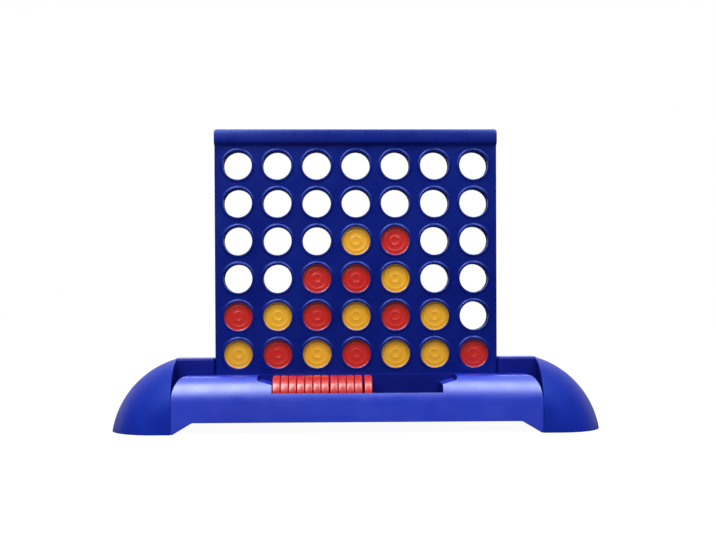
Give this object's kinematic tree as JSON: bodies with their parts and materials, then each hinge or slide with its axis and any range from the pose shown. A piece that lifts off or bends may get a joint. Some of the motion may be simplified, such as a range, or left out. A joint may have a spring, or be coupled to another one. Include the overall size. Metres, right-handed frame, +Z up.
{
  "type": "four-in-a-row game",
  "caption": "Upright blue grid of round windows on a long domed base, with red and yellow discs in its columns, a sliding release bar and a disc tray along each side.",
  "frame": {"origin": "on the table, under the middle of the grid", "axes": "+X along the base to the right of a player at the front, +Y from the front to the rear tray, +Z up"},
  "size_m": [0.415, 0.088, 0.2545],
  "materials": {
    "blue_grid": "gloss",
    "blue_base": "gloss",
    "red_disc": "gloss",
    "yellow_disc": "gloss"
  },
  "bodies": {
    "base": {"tray_body": "blue_base", "left_end_cap": "blue_base", "right_end_cap": "blue_base"},
    "grid": {"front_grid_panel": "blue_grid", "rear_grid_panel": "blue_grid"},
    "release_bar": {"release_bar": "blue_grid"},
    "yellow_disc_column_1_row_1": {"yellow_disc_column_1_row_1": "yellow_disc"},
    "red_disc_column_1_row_2": {"red_disc_column_1_row_2": "red_disc"},
    "red_disc_column_2_row_1": {"red_disc_column_2_row_1": "red_disc"},
    "yellow_disc_column_2_row_2": {"yellow_disc_column_2_row_2": "yellow_disc"},
    "yellow_disc_column_3_row_1": {"yellow_disc_column_3_row_1": "yellow_disc"},
    "red_disc_column_3_row_2": {"red_disc_column_3_row_2": "red_disc"},
    "red_disc_column_3_row_3": {"red_disc_column_3_row_3": "red_disc"},
    "red_disc_column_4_row_1": {"red_disc_column_4_row_1": "red_disc"},
    "yellow_disc_column_4_row_2": {"yellow_disc_column_4_row_2": "yellow_disc"},
    "red_disc_column_4_row_3": {"red_disc_column_4_row_3": "red_disc"},
    "yellow_disc_column_4_row_4": {"yellow_disc_column_4_row_4": "yellow_disc"},
    "yellow_disc_column_5_row_1": {"yellow_disc_column_5_row_1": "yellow_disc"},
    "red_disc_column_5_row_2": {"red_disc_column_5_row_2": "red_disc"},
    "yellow_disc_column_5_row_3": {"yellow_disc_column_5_row_3": "yellow_disc"},
    "red_disc_column_5_row_4": {"red_disc_column_5_row_4": "red_disc"},
    "yellow_disc_column_6_row_1": {"yellow_disc_column_6_row_1": "yellow_disc"},
    "yellow_disc_column_6_row_2": {"yellow_disc_column_6_row_2": "yellow_disc"},
    "red_disc_column_7_row_1": {"red_disc_column_7_row_1": "red_disc"},
    "red_tray_disc_01": {"red_tray_disc_01": "red_disc"},
    "red_tray_disc_02": {"red_tray_disc_02": "red_disc"},
    "red_tray_disc_03": {"red_tray_disc_03": "red_disc"},
    "red_tray_disc_04": {"red_tray_disc_04": "red_disc"},
    "red_tray_disc_05": {"red_tray_disc_05": "red_disc"},
    "red_tray_disc_06": {"red_tray_disc_06": "red_disc"},
    "red_tray_disc_07": {"red_tray_disc_07": "red_disc"},
    "red_tray_disc_08": {"red_tray_disc_08": "red_disc"},
    "red_tray_disc_09": {"red_tray_disc_09": "red_disc"},
    "red_tray_disc_10": {"red_tray_disc_10": "red_disc"},
    "red_tray_disc_11": {"red_tray_disc_11": "red_disc"},
    "red_tray_disc_12": {"red_tray_disc_12": "red_disc"},
    "yellow_tray_disc_01": {"yellow_tray_disc_01": "yellow_disc"},
    "yellow_tray_disc_02": {"yellow_tray_disc_02": "yellow_disc"},
    "yellow_tray_disc_03": {"yellow_tray_disc_03": "yellow_disc"},
    "yellow_tray_disc_04": {"yellow_tray_disc_04": "yellow_disc"},
    "yellow_tray_disc_05": {"yellow_tray_disc_05": "yellow_disc"},
    "yellow_tray_disc_06": {"yellow_tray_disc_06": "yellow_disc"},
    "yellow_tray_disc_07": {"yellow_tray_disc_07": "yellow_disc"},
    "yellow_tray_disc_08": {"yellow_tray_disc_08": "yellow_disc"},
    "yellow_tray_disc_09": {"yellow_tray_disc_09": "yellow_disc"},
    "yellow_tray_disc_10": {"yellow_tray_disc_10": "yellow_disc"},
    "yellow_tray_disc_11": {"yellow_tray_disc_11": "yellow_disc"},
    "yellow_tray_disc_12": {"yellow_tray_disc_12": "yellow_disc"}
  },
  "joints": [
    {"name": "grid_lift", "type": "slide", "parent": "base", "child": "grid", "axis": [0, 0, 1], "range_m": [0, 0.035]},
    {"name": "release_bar_slide", "type": "slide", "parent": "grid", "child": "release_bar", "axis": [1, 0, 0], "range_m": [0, 0.01675]},
    {"name": "yellow_disc_column_1_row_1_lift", "type": "slide", "parent": "grid", "child": "yellow_disc_column_1_row_1", "axis": [0, 0, 1], "range_m": [0, 0.207]},
    {"name": "red_disc_column_1_row_2_lift", "type": "slide", "parent": "yellow_disc_column_1_row_1", "child": "red_disc_column_1_row_2", "axis": [0, 0, 1], "range_m": [0, 0.175]},
    {"name": "red_disc_column_2_row_1_lift", "type": "slide", "parent": "grid", "child": "red_disc_column_2_row_1", "axis": [0, 0, 1], "range_m": [0, 0.207]},
    {"name": "yellow_disc_column_2_row_2_lift", "type": "slide", "parent": "red_disc_column_2_row_1", "child": "yellow_disc_column_2_row_2", "axis": [0, 0, 1], "range_m": [0, 0.175]},
    {"name": "yellow_disc_column_3_row_1_lift", "type": "slide", "parent": "grid", "child": "yellow_disc_column_3_row_1", "axis": [0, 0, 1], "range_m": [0, 0.207]},
    {"name": "red_disc_column_3_row_2_lift", "type": "slide", "parent": "yellow_disc_column_3_row_1", "child": "red_disc_column_3_row_2", "axis": [0, 0, 1], "range_m": [0, 0.175]},
    {"name": "red_disc_column_3_row_3_lift", "type": "slide", "parent": "red_disc_column_3_row_2", "child": "red_disc_column_3_row_3", "axis": [0, 0, 1], "range_m": [0, 0.143]},
    {"name": "red_disc_column_4_row_1_lift", "type": "slide", "parent": "grid", "child": "red_disc_column_4_row_1", "axis": [0, 0, 1], "range_m": [0, 0.207]},
    {"name": "yellow_disc_column_4_row_2_lift", "type": "slide", "parent": "red_disc_column_4_row_1", "child": "yellow_disc_column_4_row_2", "axis": [0, 0, 1], "range_m": [0, 0.175]},
    {"name": "red_disc_column_4_row_3_lift", "type": "slide", "parent": "yellow_disc_column_4_row_2", "child": "red_disc_column_4_row_3", "axis": [0, 0, 1], "range_m": [0, 0.143]},
    {"name": "yellow_disc_column_4_row_4_lift", "type": "slide", "parent": "red_disc_column_4_row_3", "child": "yellow_disc_column_4_row_4", "axis": [0, 0, 1], "range_m": [0, 0.111]},
    {"name": "yellow_disc_column_5_row_1_lift", "type": "slide", "parent": "grid", "child": "yellow_disc_column_5_row_1", "axis": [0, 0, 1], "range_m": [0, 0.207]},
    {"name": "red_disc_column_5_row_2_lift", "type": "slide", "parent": "yellow_disc_column_5_row_1", "child": "red_disc_column_5_row_2", "axis": [0, 0, 1], "range_m": [0, 0.175]},
    {"name": "yellow_disc_column_5_row_3_lift", "type": "slide", "parent": "red_disc_column_5_row_2", "child": "yellow_disc_column_5_row_3", "axis": [0, 0, 1], "range_m": [0, 0.143]},
    {"name": "red_disc_column_5_row_4_lift", "type": "slide", "parent": "yellow_disc_column_5_row_3", "child": "red_disc_column_5_row_4", "axis": [0, 0, 1], "range_m": [0, 0.111]},
    {"name": "yellow_disc_column_6_row_1_lift", "type": "slide", "parent": "grid", "child": "yellow_disc_column_6_row_1", "axis": [0, 0, 1], "range_m": [0, 0.207]},
    {"name": "yellow_disc_column_6_row_2_lift", "type": "slide", "parent": "yellow_disc_column_6_row_1", "child": "yellow_disc_column_6_row_2", "axis": [0, 0, 1], "range_m": [0, 0.175]},
    {"name": "red_disc_column_7_row_1_lift", "type": "slide", "parent": "grid", "child": "red_disc_column_7_row_1", "axis": [0, 0, 1], "range_m": [0, 0.207]},
    {"name": "red_tray_disc_01_lift", "type": "slide", "parent": "base", "child": "red_tray_disc_01", "axis": [0, 0, 1], "range_m": [0, 0.035]},
    {"name": "red_tray_disc_02_lift", "type": "slide", "parent": "base", "child": "red_tray_disc_02", "axis": [0, 0, 1], "range_m": [0, 0.035]},
    {"name": "red_tray_disc_03_lift", "type": "slide", "parent": "base", "child": "red_tray_disc_03", "axis": [0, 0, 1], "range_m": [0, 0.035]},
    {"name": "red_tray_disc_04_lift", "type": "slide", "parent": "base", "child": "red_tray_disc_04", "axis": [0, 0, 1], "range_m": [0, 0.035]},
    {"name": "red_tray_disc_05_lift", "type": "slide", "parent": "base", "child": "red_tray_disc_05", "axis": [0, 0, 1], "range_m": [0, 0.035]},
    {"name": "red_tray_disc_06_lift", "type": "slide", "parent": "base", "child": "red_tray_disc_06", "axis": [0, 0, 1], "range_m": [0, 0.035]},
    {"name": "red_tray_disc_07_lift", "type": "slide", "parent": "base", "child": "red_tray_disc_07", "axis": [0, 0, 1], "range_m": [0, 0.035]},
    {"name": "red_tray_disc_08_lift", "type": "slide", "parent": "base", "child": "red_tray_disc_08", "axis": [0, 0, 1], "range_m": [0, 0.035]},
    {"name": "red_tray_disc_09_lift", "type": "slide", "parent": "base", "child": "red_tray_disc_09", "axis": [0, 0, 1], "range_m": [0, 0.035]},
    {"name": "red_tray_disc_10_lift", "type": "slide", "parent": "base", "child": "red_tray_disc_10", "axis": [0, 0, 1], "range_m": [0, 0.035]},
    {"name": "red_tray_disc_11_lift", "type": "slide", "parent": "base", "child": "red_tray_disc_11", "axis": [0, 0, 1], "range_m": [0, 0.035]},
    {"name": "red_tray_disc_12_lift", "type": "slide", "parent": "base", "child": "red_tray_disc_12", "axis": [0, 0, 1], "range_m": [0, 0.035]},
    {"name": "yellow_tray_disc_01_lift", "type": "slide", "parent": "base", "child": "yellow_tray_disc_01", "axis": [0, 0, 1], "range_m": [0, 0.035]},
    {"name": "yellow_tray_disc_02_lift", "type": "slide", "parent": "base", "child": "yellow_tray_disc_02", "axis": [0, 0, 1], "range_m": [0, 0.035]},
    {"name": "yellow_tray_disc_03_lift", "type": "slide", "parent": "base", "child": "yellow_tray_disc_03", "axis": [0, 0, 1], "range_m": [0, 0.035]},
    {"name": "yellow_tray_disc_04_lift", "type": "slide", "parent": "base", "child": "yellow_tray_disc_04", "axis": [0, 0, 1], "range_m": [0, 0.035]},
    {"name": "yellow_tray_disc_05_lift", "type": "slide", "parent": "base", "child": "yellow_tray_disc_05", "axis": [0, 0, 1], "range_m": [0, 0.035]},
    {"name": "yellow_tray_disc_06_lift", "type": "slide", "parent": "base", "child": "yellow_tray_disc_06", "axis": [0, 0, 1], "range_m": [0, 0.035]},
    {"name": "yellow_tray_disc_07_lift", "type": "slide", "parent": "base", "child": "yellow_tray_disc_07", "axis": [0, 0, 1], "range_m": [0, 0.035]},
    {"name": "yellow_tray_disc_08_lift", "type": "slide", "parent": "base", "child": "yellow_tray_disc_08", "axis": [0, 0, 1], "range_m": [0, 0.035]},
    {"name": "yellow_tray_disc_09_lift", "type": "slide", "parent": "base", "child": "yellow_tray_disc_09", "axis": [0, 0, 1], "range_m": [0, 0.035]},
    {"name": "yellow_tray_disc_10_lift", "type": "slide", "parent": "base", "child": "yellow_tray_disc_10", "axis": [0, 0, 1], "range_m": [0, 0.035]},
    {"name": "yellow_tray_disc_11_lift", "type": "slide", "parent": "base", "child": "yellow_tray_disc_11", "axis": [0, 0, 1], "range_m": [0, 0.035]},
    {"name": "yellow_tray_disc_12_lift", "type": "slide", "parent": "base", "child": "yellow_tray_disc_12", "axis": [0, 0, 1], "range_m": [0, 0.035]}
  ]
}
